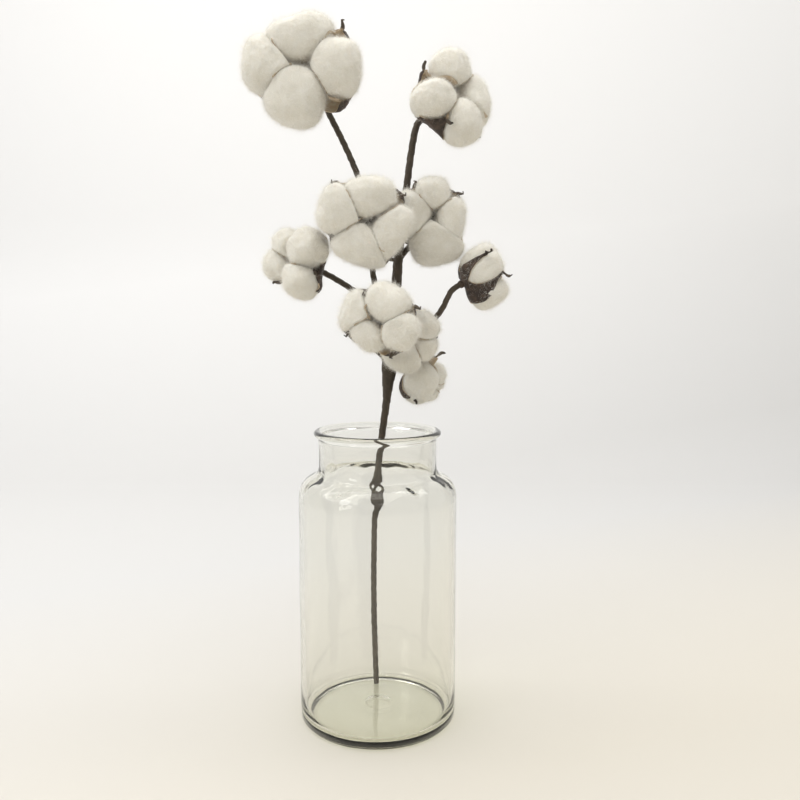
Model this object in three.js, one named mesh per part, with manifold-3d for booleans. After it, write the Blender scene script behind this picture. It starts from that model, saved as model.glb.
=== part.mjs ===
// A bunch of open cotton bolls on one branched, tape-wrapped stem, standing in
// a wide-mouthed glass jar.
// Millimetres, +Z up, -Y is the front. The origin is the middle of the jar's
// flat underside, on the table.
import * as THREE from 'three';
import { mergeVertices } from 'three/addons/utils/BufferGeometryUtils.js';
import Module from 'manifold-3d';

const wasm = await Module();
wasm.setup();

// ---------------------------------------------------------------- dimensions

const CLEARANCE = 0.3;          // between pieces that touch

const JAR = {
  height: 203,
  bodyRadius: 54.5,
  neckRadius: 40.5,
  rimRadius: 43.7,
  wall: 3,
  floor: 6,
  heelRadius: 5,
  floorFillet: 7,
  shoulderTop: 176,             // the neck starts here
  shoulderBottom: 158,          // the straight body ends here
  lipHeight: 7,
  mouthChamfer: 2,
  sides: 24,
};

// The wrapped stem: x, y, z of its middle and its radius there. It stands on
// the jar's floor and leans on the back of the neck. Above the jar it swells
// where the branches are bound to it, then thins again towards the top boll.
const STEM = [
  [-2.4, 33.0, 6.4, 2.0], [-4.0, 33.4, 69, 2.1], [-3.3, 33.8, 130, 2.1],
  [-1.0, 34.1, 165, 2.5], [1.9, 34.2, 191, 2.4], [4.4, 34.3, 209, 2.6],
  [5.9, 35.0, 221, 2.9], [6.8, 35.4, 233, 4.2], [8.1, 35.8, 244, 5.7],
  [9.8, 36.0, 265, 5.2], [12.6, 36.0, 299, 3.8], [15.2, 36.0, 332, 3.2],
  [20.1, 37.0, 371, 2.5], [24.4, 40.0, 402, 2.4], [27.5, 43.5, 416, 2.3],
];

// Open bolls. centre: where the locks meet; axis: the way the open face looks;
// radius: across the open face; depth: from the centre back to the base; tall:
// half height of a lock along the axis.
// Each lock of lint is [angle, reach, long, wide, rise]: its place round the
// face in degrees (0 right, 90 up, seen from the front), the distance of its
// middle from the axis, its two half sizes and how far forward it stands. Its
// inward half is longer and runs in to the boll's axis.
// Each valve of the burr is [angle, reach, rise] of its pointed tip.
const BOLLS = [
  {
    name: 'top_left', centre: [-47.1, 8, 446], axis: [-0.08, -0.98, 0.08],
    radius: 40, depth: 27, tall: 17,
    locks: [[106, 18.5, 13, 24.5, 0], [179, 27, 15.5, 18.5, 0],
      [251, 23.5, 17, 19.5, 0], [-4, 23.5, 13.5, 18, 0]],
    valves: [[42, 38, 4], [142, 31, -2], [214, 31, -2], [-45, 39, 3]],
  },
  {
    name: 'top_right', centre: [52.2, 28, 429.4], axis: [0.72, -0.62, 0.3],
    radius: 31, depth: 21, tall: 14,
    locks: [[90, 22, 11, 13, 3], [187, 17.5, 16.5, 12.5, -4],
      [268, 18.5, 15, 13, 2], [-8, 15, 9.5, 20, 4]],
    valves: [[137, 32, -1], [228, 29, 5], [-48, 30, 1], [56, 30, 5]],
  },
  {
    name: 'middle_left', centre: [-3.5, -9, 343.5], axis: [0.15, -0.98, -0.05],
    radius: 32, depth: 22, tall: 14,
    locks: [[97, 15.5, 12, 18, 0], [164, 24, 12, 16.5, 0],
      [249, 19.5, 11, 20.5, 0], [-33, 15.5, 10, 19.5, 1]],
    valves: [[134, 34, 4], [42, 28, 3], [-63, 30, 3], [205, 26, 0]],
  },
  {
    name: 'middle_right', centre: [38.9, 20, 347.6], axis: [0.05, -0.98, -0.05],
    radius: 28, depth: 19, tall: 13,
    locks: [[94, 17, 11.5, 12, 0], [170, 15, 13.5, 17.5, 0],
      [279, 14.5, 17.5, 19.5, 0], [-7, 11, 10.5, 18, 0]],
    valves: [[47, 25, 3], [123, 27, 2], [-48, 24, 1], [215, 24, -2]],
  },
  {
    name: 'lower_front', centre: [2.4, -22, 277.4], axis: [-0.1, -0.97, 0.1],
    radius: 27, depth: 19, tall: 13,
    locks: [[65, 12, 13, 15, 3], [159, 16.5, 9.5, 15, 0], [228, 11, 9.5, 13, -1], [-25, 16, 11, 13, 2]],
    valves: [[118, 21, 3], [21, 28, 3], [200, 24, 1], [294, 25, 3]],
  },
  {
    name: 'lower_back', centre: [22.5, 11, 263.4], axis: [0.25, -0.9, -0.2],
    radius: 21, depth: 15, tall: 11,
    locks: [[50, 14, 10, 11, 0], [150, 9, 9, 10, 0], [244, 10, 13, 15, 0], [-20, 10, 10, 10, 0]],
    valves: [[100, 17, 0], [197, 15, 0], [292, 17, 0], [15, 18, 0]],
  },
  {
    name: 'lower_right', centre: [31, 32, 234.8], axis: [0.8, -0.35, -0.45],
    radius: 15, depth: 12, tall: 12,
    locks: [[42, 9, 8, 8, 2], [185, 6, 9, 16, 2], [318, 9, 8, 8, 2], [0, 9, 8, 8, 2]],
    valves: [[25, 17, 5], [124, 21, 7], [238, 16.5, 7], [335, 16, 5]],
  },
  {
    name: 'left', centre: [-54.4, 10, 317.5], axis: [-0.72, -0.62, 0.3],
    radius: 23, depth: 17, tall: 13,
    locks: [[39, 12.5, 14, 13, 1], [125, 14, 10, 10, 4], [192, 15, 10, 11.5, 3], [-58, 17, 11, 11, -1]],
    valves: [[82, 20, -8], [160, 22, 3], [240, 19, 6], [-18, 15, 6]],
  },
  {
    name: 'right', centre: [71.4, 20, 311.2], axis: [0.84, 0, 0.54],
    radius: 15, depth: 14, tall: 14,
    locks: [[90, 8, 9, 9, 4], [178, 8, 9, 10, 3], [262, 15, 10, 11, -5], [0, 8, 9, 10, 3]],
    valves: [[138, 18, 10], [45, 16, 9], [226, 19, 13], [315, 16, 9]],
  },
];

const BURR = {
  cupRadius: 0.22,              // of the boll's radius
  neckRadius: 2.6,
  neckLength: 3,
  cupDepth: 2.5,
  valveThickness: 1.6,
  valveWidth: 0.36,             // half width, of the boll's radius
  valveHollow: 0.25,            // how far its edges stand up, of the half width
  belly: 0.86,                  // widest ring of the burr, of the boll's radius
};

// Side branches: the boll each one carries, the height at which it leaves the
// stem, its radius, and the points it passes on the way.
const BRANCHES = [
  {
    boll: 'top_left', leaves: 268, radius: 2.1,
    through: [[-2, 37, 301], [-12, 38, 372], [-37.2, 39, 428]],
  },
  { boll: 'left', leaves: 262, radius: 2, through: [[2, 29, 284], [-20, 28, 300.4]] },
  { boll: 'right', leaves: 250, radius: 2, through: [[20, 36, 259], [43.5, 24, 283]] },
  { boll: 'middle_left', leaves: 326, radius: 2, through: [] },
  { boll: 'middle_right', leaves: 320, radius: 2, through: [[26, 40, 335]] },
  { boll: 'lower_front', leaves: 240, radius: 2, through: [[4, 27, 251], [-4.5, 16, 262]] },
  { boll: 'lower_back', leaves: 264, radius: 2, through: [] },
  { boll: 'lower_right', leaves: 240, radius: 1.8, through: [] },
];
const LEADER_BOLL = 'top_right';  // the boll at the end of the stem itself
const STRAIGHT_RUN = 6;           // of a stem, behind its boll
const PLUMPNESS = 2.5;            // how square a lock is: 2 is an ellipsoid

// How finely round shapes are cut into faces.
const ARC_STEPS = 3;
const TUBE_SIDES = 8;
const TUBE_STEP = 9;
const STEM_STEPS = 44;
const CUP_SIDES = 8;
const VALVE_STEPS = 4;
const LOCK_SIDES = 8;
const LOCK_RINGS = 6;

// ----------------------------------------------------------------- materials

const GLASS = new THREE.MeshStandardMaterial({
  color: 0xdfe6dc, roughness: 0.05, metalness: 0, transparent: true, opacity: 0.35,
});
const TAPE = new THREE.MeshStandardMaterial({ color: 0x4b3b33, roughness: 0.85, metalness: 0 });
const HUSK = new THREE.MeshStandardMaterial({ color: 0x54412f, roughness: 0.8, metalness: 0 });
const LINT = new THREE.MeshStandardMaterial({ color: 0xece7dc, roughness: 1, metalness: 0 });

// ------------------------------------------------------------- shape helpers

function toSolid(geometry) {
  const bare = geometry.clone();
  bare.deleteAttribute('normal');
  bare.deleteAttribute('uv');
  const welded = mergeVertices(bare, 1e-4);
  return new wasm.Manifold(new wasm.Mesh({
    numProp: 3,
    vertProperties: new Float32Array(welded.attributes.position.array),
    triVerts: new Uint32Array(welded.index.array),
  }));
}

function toGeometry(solid) {
  const mesh = solid.getMesh();
  const geometry = new THREE.BufferGeometry();
  geometry.setAttribute('position', new THREE.BufferAttribute(mesh.vertProperties, 3));
  geometry.setIndex(new THREE.BufferAttribute(mesh.triVerts, 1));
  geometry.computeVertexNormals();
  return geometry;
}

// A cut can leave a crumb beyond the piece that is wanted.
function largestPiece(solid) {
  return solid.decompose().sort((a, b) => b.volume() - a.volume())[0];
}

function named(name, geometry, material) {
  const mesh = new THREE.Mesh(geometry, material);
  mesh.name = name;
  return mesh;
}

function vector([x, y, z]) {
  return new THREE.Vector3(x, y, z);
}

function profilePoint([radius, height]) {
  return new THREE.Vector2(radius, height);
}

function latheAboutZ(profile, sides) {
  const geometry = new THREE.LatheGeometry(profile, sides);
  geometry.rotateX(Math.PI / 2);
  return geometry;
}

// A quarter turn of a profile from one point to another, on the ellipse whose
// middle is `corner`.
function quarter(corner, from, to) {
  const points = [];
  for (let i = 0; i <= ARC_STEPS; i++) {
    const turn = (i / ARC_STEPS) * Math.PI / 2;
    points.push(profilePoint([0, 1].map((k) => corner[k]
      + (from[k] - corner[k]) * Math.cos(turn) + (to[k] - corner[k]) * Math.sin(turn))));
  }
  return points;
}

// A tube whose radius changes: a circle of radius 1 is swept along the path,
// and each of its stations is then drawn out to its own radius.
function sweep(path, radiusAt, steps) {
  const section = new THREE.Shape();
  for (let i = 0; i < TUBE_SIDES; i++) {
    const turn = (i / TUBE_SIDES) * 2 * Math.PI;
    if (i === 0) section.moveTo(1, 0);
    else section.lineTo(Math.cos(turn), Math.sin(turn));
  }
  section.closePath();
  const geometry = new THREE.ExtrudeGeometry(section, { steps, extrudePath: path, bevelEnabled: false });
  const stations = path.getSpacedPoints(steps);
  const corners = geometry.attributes.position;
  const corner = new THREE.Vector3();
  for (let i = 0; i < corners.count; i++) {
    corner.fromBufferAttribute(corners, i);
    const distances = stations.map((station) => station.distanceToSquared(corner));
    const station = stations[distances.indexOf(Math.min(...distances))];
    corner.sub(station).multiplyScalar(radiusAt(station)).add(station);
    corners.setXYZ(i, corner.x, corner.y, corner.z);
  }
  return geometry;
}

// Two matching grids of points joined round their edge into one closed plate.
function closedPlate(top, bottom, across, along) {
  const count = across * along;
  const index = [];
  const quad = (a, b, c, d) => index.push(a, b, c, a, c, d);
  for (let j = 0; j < along - 1; j++) {
    for (let i = 0; i < across - 1; i++) {
      const a = j * across + i;
      quad(a, a + across, a + across + 1, a + 1);
      quad(count + a, count + a + 1, count + a + across + 1, count + a + across);
    }
    const left = j * across;
    const right = left + across - 1;
    quad(left, count + left, count + left + across, left + across);
    quad(right, right + across, count + right + across, count + right);
  }
  for (let i = 0; i < across - 1; i++) {
    const far = (along - 1) * across + i;
    quad(i, i + 1, count + i + 1, count + i);
    quad(far, count + far, count + far + 1, far + 1);
  }
  const geometry = new THREE.BufferGeometry();
  const corners = [...top, ...bottom].flatMap((point) => [point.x, point.y, point.z]);
  geometry.setAttribute('position', new THREE.Float32BufferAttribute(corners, 3));
  geometry.setIndex(index);
  return geometry;
}

// ----------------------------------------------------------------- glass jar

// The outer skin of the body turns in at the shoulder to the narrower neck.
function jarOutside(bendRadius, bendHeight) {
  const { bodyRadius, neckRadius, heelRadius, shoulderTop, shoulderBottom } = JAR;
  const heel = bodyRadius - heelRadius;
  return [
    profilePoint([0, 0]),
    ...quarter([heel, heelRadius], [heel, 0], [bodyRadius, heelRadius]),
    ...quarter([bendRadius, shoulderBottom], [bodyRadius, shoulderBottom], [bendRadius, bendHeight]),
    ...quarter([bendRadius, shoulderTop], [bendRadius, bendHeight], [neckRadius, shoulderTop]).slice(1),
    profilePoint([neckRadius, JAR.height - JAR.lipHeight]),
  ];
}

// The rolled lip: half round outside, with a small chamfer into the mouth.
function jarLip() {
  const round = JAR.lipHeight / 2;
  const middle = [JAR.rimRadius - round, JAR.height - round];
  return [
    ...quarter(middle, [middle[0], JAR.height - JAR.lipHeight], [JAR.rimRadius, middle[1]]),
    ...quarter(middle, [JAR.rimRadius, middle[1]], [middle[0], JAR.height]).slice(1),
    profilePoint([JAR.neckRadius - JAR.wall, JAR.height - JAR.mouthChamfer]),
  ];
}

function jarInside(bendRadius, bendHeight) {
  const { bodyRadius, neckRadius, wall, floor, floorFillet, shoulderTop } = JAR;
  const [body, neck, bend] = [bodyRadius - wall, neckRadius - wall, bendRadius - wall];
  const bottom = JAR.shoulderBottom - wall / 2;
  const height = bendHeight - wall;
  return [
    ...quarter([bend, shoulderTop], [neck, shoulderTop], [bend, height]),
    ...quarter([bend, bottom], [bend, height], [body, bottom]).slice(1),
    ...quarter([body - floorFillet, floor + floorFillet], [body, floor + floorFillet],
      [body - floorFillet, floor]),
    profilePoint([0, floor]),
  ];
}

function jarGeometry() {
  const bendRadius = (JAR.bodyRadius + JAR.neckRadius) / 2;
  const bendHeight = (JAR.shoulderTop + JAR.shoulderBottom) / 2;
  const profile = [
    ...jarOutside(bendRadius, bendHeight), ...jarLip(), ...jarInside(bendRadius, bendHeight),
  ];
  return latheAboutZ(profile, JAR.sides);
}

// --------------------------------------------------------------------- bolls

// Right, up and forward directions of a boll's open face, at its centre.
function facePlace(boll) {
  const forward = vector(boll.axis).normalize();
  const up = new THREE.Vector3(0, 0, 1).addScaledVector(forward, -forward.z).normalize();
  const right = new THREE.Vector3().crossVectors(up, forward);
  return new THREE.Matrix4().makeBasis(right, up, forward).setPosition(vector(boll.centre));
}

// The point on a boll's axis that lies `gap` behind the end of its burr.
function behind(boll, gap) {
  return new THREE.Vector3(0, 0, -boll.depth - BURR.neckLength - gap).applyMatrix4(facePlace(boll));
}

// One valve: a boat-shaped plate that follows its midrib from the base, out
// between two locks and up to the pointed tip. `grow` swells it on every side.
function valve(boll, [angle, reach, rise], grow) {
  const { radius, depth } = boll;
  const rib = new THREE.CatmullRomCurve3([
    new THREE.Vector3(0.04 * radius, 0, -depth),
    new THREE.Vector3(0.55 * BURR.belly * radius, 0, -0.85 * depth),
    new THREE.Vector3(BURR.belly * radius, 0, -0.4 * depth),
    new THREE.Vector3(reach, 0, rise),
  ]);
  const top = [];
  const bottom = [];
  for (let i = 0; i <= VALVE_STEPS; i++) {
    const share = i / VALVE_STEPS;
    const along = rib.getTangent(share);
    const normal = new THREE.Vector3(-along.z, 0, along.x);
    const fullness = Math.sin(Math.PI * Math.min(0.97, 0.12 + 0.88 * share ** 0.9));
    const half = BURR.valveWidth * radius * fullness + grow;
    const thick = BURR.valveThickness * (0.55 + 0.45 * fullness) / 2 + grow;
    for (const side of [-1, 0, 1]) {
      const middle = rib.getPoint(share).add(new THREE.Vector3(0, side * half, 0));
      middle.addScaledVector(normal, BURR.valveHollow * half * side ** 2);
      top.push(middle.clone().addScaledVector(normal, thick));
      bottom.push(middle.clone().addScaledVector(normal, -thick));
    }
  }
  const geometry = closedPlate(top, bottom, 3, VALVE_STEPS + 1);
  geometry.rotateZ(THREE.MathUtils.degToRad(angle));
  return geometry;
}

// The cup at the base of the burr, turned about the boll's axis.
function cup(boll, grow) {
  const wide = BURR.cupRadius * boll.radius + grow;
  const end = -boll.depth - BURR.neckLength - grow;
  return latheAboutZ([
    [0, end],
    [BURR.neckRadius + grow, end],
    [wide, -boll.depth],
    [wide, -boll.depth + BURR.cupDepth / 2],
    [0, -boll.depth + BURR.cupDepth + grow],
  ].map(profilePoint), CUP_SIDES);
}

function burrSolid(boll, grow) {
  const valves = boll.valves.map((tip) => toSolid(valve(boll, tip, grow)));
  return valves.reduce((whole, one) => whole.add(one), toSolid(cup(boll, grow)));
}

function lockMiddle([angle, reach, , , rise]) {
  const turn = THREE.MathUtils.degToRad(angle);
  return new THREE.Vector3(reach * Math.cos(turn), reach * Math.sin(turn), rise);
}

// The size of a point in a space where a plump, slightly square ball is round.
function plumpLength(...parts) {
  return parts.reduce((sum, part) => sum + Math.abs(part) ** PLUMPNESS, 0) ** (1 / PLUMPNESS);
}

// Half size of a lock in a given direction, as far as its neighbours feel it.
function girth([angle, , long, wide], tall, direction) {
  const turn = THREE.MathUtils.degToRad(-angle);
  const own = direction.clone().applyAxisAngle(new THREE.Vector3(0, 0, 1), turn);
  return 1 / plumpLength(own.x / long, own.y / wide, own.z / tall);
}

function lockForm([angle, reach, long, wide, rise], tall) {
  const geometry = new THREE.SphereGeometry(1, LOCK_SIDES, LOCK_RINGS);
  geometry.rotateX(Math.PI / 2);
  const corners = geometry.attributes.position;
  for (let i = 0; i < corners.count; i++) {
    const [x, y, z] = [corners.getX(i), corners.getY(i), corners.getZ(i)];
    const size = plumpLength(x, y, z);
    const length = x < 0 ? Math.max(long, reach - 1) : long;
    corners.setXYZ(i, x * length / size, y * wide / size, z * tall / size);
  }
  geometry.translate(reach, 0, rise);
  geometry.rotateZ(THREE.MathUtils.degToRad(angle));
  return toSolid(geometry);
}

// Where two locks press on each other they flatten against the plane between
// them, which lies nearer to the smaller one.
function lockSolid(boll, lock, burrRoom) {
  const here = lockMiddle(lock);
  let solid = lockForm(lock, boll.tall).subtract(burrRoom);
  for (const other of boll.locks.filter((one) => one !== lock)) {
    const away = here.clone().sub(lockMiddle(other));
    const distance = away.length();
    away.normalize();
    const mine = girth(lock, boll.tall, away);
    const theirs = girth(other, boll.tall, away);
    const offset = here.dot(away) - distance * mine / (mine + theirs) + CLEARANCE / 2;
    solid = solid.trimByPlane([away.x, away.y, away.z], offset);
  }
  return largestPiece(solid);
}

function bollMeshes(boll) {
  const place = facePlace(boll);
  const burr = toGeometry(burrSolid(boll, 0)).applyMatrix4(place);
  const room = burrSolid(boll, CLEARANCE);
  const locks = boll.locks.map((lock, i) => {
    const geometry = toGeometry(lockSolid(boll, lock, room)).applyMatrix4(place);
    return named(`${boll.name}_lock_${i + 1}`, geometry, LINT);
  });
  return [named(`${boll.name}_burr`, burr, HUSK), ...locks];
}

function bollNamed(name) {
  return BOLLS.find((boll) => boll.name === name);
}

// --------------------------------------------------------------------- stems

const leader = bollNamed(LEADER_BOLL);
const stemPath = new THREE.CatmullRomCurve3(
  [...STEM.map(vector), behind(leader, STRAIGHT_RUN), behind(leader, CLEARANCE)], false, 'centripetal');

function stemRadius(point) {
  const next = STEM.findIndex((row) => row[2] >= point.z);
  if (next <= 0) return STEM.at(next)[3];
  const [low, high] = [STEM[next - 1], STEM[next]];
  return THREE.MathUtils.mapLinear(point.z, low[2], high[2], low[3], high[3]);
}

function pointOnStem(height) {
  const points = stemPath.getSpacedPoints(400);
  return points.find((point) => point.z >= height);
}

function stemSolid(grow) {
  return toSolid(sweep(stemPath, (point) => stemRadius(point) + grow, STEM_STEPS));
}

function branchSolid(branch, stemRoom) {
  const boll = bollNamed(branch.boll);
  const path = new THREE.CatmullRomCurve3([
    pointOnStem(branch.leaves), ...branch.through.map(vector),
    behind(boll, STRAIGHT_RUN), behind(boll, CLEARANCE),
  ], false, 'centripetal');
  const steps = Math.max(5, Math.round(path.getLength() / TUBE_STEP));
  return largestPiece(toSolid(sweep(path, () => branch.radius, steps)).subtract(stemRoom));
}

// ------------------------------------------------------------------ assembly

const group = new THREE.Group();
group.add(named('glass_jar', jarGeometry(), GLASS));
group.add(named('main_stem', toGeometry(stemSolid(0)), TAPE));
const stemRoom = stemSolid(CLEARANCE);
for (const branch of BRANCHES) {
  group.add(named(`${branch.boll}_branch`, toGeometry(branchSolid(branch, stemRoom)), TAPE));
}
for (const boll of BOLLS) group.add(...bollMeshes(boll));

export default group;
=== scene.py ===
"""Open cotton bolls on a branched, tape-wrapped stem that stands in a glass jar. Lengths in metres."""

import math

import bmesh
import bpy
import numpy as np
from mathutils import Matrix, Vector, noise


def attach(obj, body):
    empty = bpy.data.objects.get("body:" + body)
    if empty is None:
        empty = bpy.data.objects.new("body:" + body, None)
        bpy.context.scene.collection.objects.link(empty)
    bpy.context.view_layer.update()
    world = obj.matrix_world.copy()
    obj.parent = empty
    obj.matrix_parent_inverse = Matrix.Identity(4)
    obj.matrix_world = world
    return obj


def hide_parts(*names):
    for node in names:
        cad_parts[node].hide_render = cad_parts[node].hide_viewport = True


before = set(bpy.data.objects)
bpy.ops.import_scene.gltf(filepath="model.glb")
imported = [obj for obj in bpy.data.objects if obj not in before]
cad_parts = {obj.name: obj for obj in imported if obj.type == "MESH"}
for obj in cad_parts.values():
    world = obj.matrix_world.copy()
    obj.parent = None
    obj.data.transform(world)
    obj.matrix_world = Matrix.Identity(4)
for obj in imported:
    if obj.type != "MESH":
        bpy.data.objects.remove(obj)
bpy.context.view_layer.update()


# ---------------------------------------------------------------- the studio
# A pale paper sweep, cream on the table and cooler white up the wall, and paler to
# the left with painted light, under a large soft lamp, with a small window on the left
# and a lamp washing the wall.
# The room is darker behind the camera, which draws the edges of the glass.

CAMERA_PLACE, CAMERA_TILT = (0.0155, -0.545, 0.2817), 83.9

camera = bpy.data.objects.new("camera", bpy.data.cameras.new("camera"))
camera.location = CAMERA_PLACE
camera.rotation_euler = (math.radians(CAMERA_TILT), 0, 0)
camera.data.lens = 36
camera.data.sensor_width = 36
bpy.context.scene.collection.objects.link(camera)
bpy.context.scene.camera = camera
bpy.context.scene.view_settings.view_transform = "Standard"


class Value:
    """One output of a node tree. Arithmetic on it adds the Math nodes that work it out."""

    def __init__(self, tree, socket):
        self.tree, self.socket = tree, socket

    def maths(self, operation, first, second):
        return self.tree.node("ShaderNodeMath", {"operation": operation}, {0: first, 1: second})[0]

    def __add__(self, other):
        return self.maths("ADD", self, other)

    def __radd__(self, other):
        return self.maths("ADD", other, self)

    def __sub__(self, other):
        return self.maths("SUBTRACT", self, other)

    def __rsub__(self, other):
        return self.maths("SUBTRACT", other, self)

    def __mul__(self, other):
        return self.maths("MULTIPLY", self, other)

    def __rmul__(self, other):
        return self.maths("MULTIPLY", other, self)

    def __truediv__(self, other):
        return self.maths("DIVIDE", self, other)

    def __pow__(self, other):
        return self.maths("POWER", self, other)

    def clamped(self):
        return self.maths("MINIMUM", self.maths("MAXIMUM", self, 0.0), 1.0)


class Outputs:
    """The outputs of one node, each as a Value, by name or by number."""

    def __init__(self, tree, node):
        self.tree, self.sockets = tree, node.outputs

    def __getitem__(self, key):
        return Value(self.tree, self.sockets[key])


class Tree:
    """A node tree that nodes are added to, each with its settings and its inputs."""

    def __init__(self, tree):
        self.tree = tree

    def put(self, socket, value):
        if isinstance(value, Value):
            self.tree.links.new(value.socket, socket)
        else:
            socket.default_value = value

    def node(self, kind, settings=None, inputs=None):
        made = self.tree.nodes.new(kind)
        for name, value in (settings or {}).items():
            setattr(made, name, value)
        for key, value in (inputs or {}).items():
            self.put(made.inputs[key], value)
        return Outputs(self, made)

    def blend(self, share, first, second):
        """One colour turning into another as share goes from 0 to 1."""
        first, second = [c if isinstance(c, Value) else (*c, 1) for c in (first, second)]
        return self.node("ShaderNodeMix", {"data_type": "RGBA"}, {0: share, 6: first, 7: second})[2]


def new_material(name):
    """An empty material, and the tree that its nodes are added to."""
    material = bpy.data.materials.new(name)
    material.use_nodes = True
    material.node_tree.nodes.clear()
    return material, Tree(material.node_tree)


def finish_material(tree, **links):
    """The output of a material, fed with its shader as Surface, or as Volume too."""
    tree.node("ShaderNodeOutputMaterial", {}, links)


def mesh_piece(name, points, faces, material):
    """A smoothly shaded mesh object at the origin."""
    mesh = bpy.data.meshes.new(name)
    mesh.from_pydata([tuple(point) for point in points], [], [tuple(face) for face in faces])
    mesh.materials.append(material)
    mesh.shade_smooth()
    piece = bpy.data.objects.new(name, mesh)
    bpy.context.scene.collection.objects.link(piece)
    return piece


PAPER_FRONT, PAPER_BEND, PAPER_TOP, PAPER_HALF_WIDTH = -1.2, 0.75, 2.6, 2.2
BEND_RADIUS, BEND_STEPS = 0.5, 12
TABLE_CREAM, TABLE_PALE, WALL_WHITE = (0.685, 0.645, 0.57), (0.655, 0.648, 0.638), (0.86, 0.855, 0.855)


def sweep_paper():
    """The paper lies flat, bends up behind the jar and stands. It pales backwards and upwards, and it is
    paler to the left in painted light.
    """
    material, tree = new_material("backdrop_paper")
    place = tree.node("ShaderNodeTexCoord")["Object"]
    place = tree.node("ShaderNodeSeparateXYZ", {}, {0: place})
    # Painted light: both blends lean paler to the left, where the lamps fall on the paper.
    backwards = ((place["Y"] + 0.12) * 1.9 + place["Z"] * 2.0 - place["X"] * 0.9).clamped()
    colour = tree.blend(backwards, TABLE_CREAM, TABLE_PALE)
    upwards = (place["Z"] * 2.4 - place["X"] * 0.3).clamped()
    colour = tree.blend(upwards, colour, WALL_WHITE)
    paper = tree.node("ShaderNodeBsdfPrincipled", {}, {"Base Color": colour, "Roughness": 0.9})
    finish_material(tree, Surface=paper[0])
    rows = [(PAPER_FRONT, 0.0), (PAPER_BEND, 0.0)]
    for turn in np.linspace(0.1, 1.57, BEND_STEPS):
        rows.append((PAPER_BEND + BEND_RADIUS * math.sin(turn), BEND_RADIUS - BEND_RADIUS * math.cos(turn)))
    rows += [(PAPER_BEND + BEND_RADIUS, PAPER_TOP)]
    points = [(x, y, z) for y, z in rows for x in (-PAPER_HALF_WIDTH, PAPER_HALF_WIDTH)]
    faces = [(2 * i, 2 * i + 1, 2 * i + 3, 2 * i + 2) for i in range(len(rows) - 1)]
    return mesh_piece("backdrop", points, faces, material)


sweep_paper()


def soft_light(name, place, target, width, height, power, colour):
    """A rectangular lamp of the studio that shines from its place to a target."""
    lamp = bpy.data.lights.new(name, "AREA")
    lamp.shape, lamp.size, lamp.size_y = "RECTANGLE", width, height
    lamp.energy, lamp.color = power, colour
    holder = bpy.data.objects.new(name, lamp)
    holder.location = place
    holder.rotation_euler = (Vector(target) - Vector(place)).to_track_quat("-Z", "Y").to_euler()
    bpy.context.scene.collection.objects.link(holder)
    return holder


overhead = soft_light("overhead", (-0.15, -0.15, 1.5), (0, 0.1, 0.2), 1.5, 1.2, 13, (1, 0.985, 0.96))
overhead.visible_glossy = False  # so that it makes no white panel in the glass
soft_light("window", (-1.0, -0.9, 0.75), (0, 0, 0.25), 0.35, 0.6, 2.5, (0.97, 0.985, 1))
soft_light("wall_wash", (-0.45, 0.2, 1.8), (-0.45, 1.25, 0.9), 4.6, 0.5, 15.5, (0.98, 0.99, 1))

world = bpy.data.worlds.new("room")
bpy.context.scene.world = world
world.use_nodes = True
world.node_tree.nodes.clear()
room = Tree(world.node_tree)
facing = room.node("ShaderNodeSeparateXYZ", {}, {0: room.node("ShaderNodeTexCoord")["Generated"]})
behind_camera = (0.55 - 1.4 * facing["Y"]).clamped() * (1.0 - facing["Z"]).clamped()
room_colour = room.blend(behind_camera, (0.95, 0.95, 0.94), (0.60, 0.59, 0.55))
room_light = room.node("ShaderNodeBackground", {}, {"Color": room_colour, "Strength": 0.75})
room.node("ShaderNodeOutputWorld", {}, {"Surface": room_light[0]})


# ----------------------------------------------------------------- glass jar
# A jar of clear, faintly green glass, blown into a mould. Its lip is rolled, its
# walls are a little uneven, and its floor is pushed up, with a round mark in the
# middle. Both skins are given as (radius, height) from the foot, in millimetres.

MM = 0.001
JAR_SIDES = 144
JAR_OUTSIDE = [
    (0, 4.2), (10, 4.1), (22, 3.6), (34, 2.5), (43, 1.2), (48, 0.3), (50.5, 0.0), (52.6, 0.7),
    (53.9, 2.8), (54.5, 6.5), (54.5, 40), (54.5, 80), (54.5, 120), (54.5, 152), (54.4, 157.5),
    (53.7, 162.2), (52.2, 166), (49.8, 168.9), (46.8, 170.9), (43.8, 172.3), (41.7, 174.1), (40.7, 176.8),
    (40.5, 180), (40.5, 190), (40.6, 195.6), (41.1, 197.7), (42.5, 198.9), (43.6, 200.3),
    (43.5, 201.8), (42.4, 202.9), (40.9, 203),
]
JAR_INSIDE = [
    (39.3, 202.5), (38.1, 201), (37.6, 198.6), (37.5, 194), (37.5, 178), (37.9, 174.2),
    (39.1, 171.2), (41.4, 169.2), (44.4, 167.8), (47.2, 166), (49.3, 163.7), (50.7, 160.6),
    (51.4, 156), (51.5, 150), (51.5, 120), (51.5, 80), (51.5, 40), (51.5, 20), (51.2, 12),
    (50.4, 7.6), (48.4, 4.9), (45.4, 3.9), (42, 4.1), (34, 5.3), (22, 6.5), (15, 7.1),
    (12.4, 7.3), (10.8, 7.5), (9.2, 7.3), (7.6, 7.0), (4, 7.1), (0, 7.1),
]
PROFILE_STEP = 3
WALL_WAVES, EDGE_WAVES = 0.28, 0.1
MOST_SAG, SAG_HEIGHT, SAG_REACH = 2.2, 170, 15


def curve_point(a, b, c, d, t):
    """The point of a Catmull-Rom curve at share t of the way from b to c."""
    return 0.5 * (2 * b + (c - a) * t + (2 * a - 5 * b + 4 * c - d) * t**2
                  + (3 * b - a - 3 * c + d) * t**3)


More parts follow.
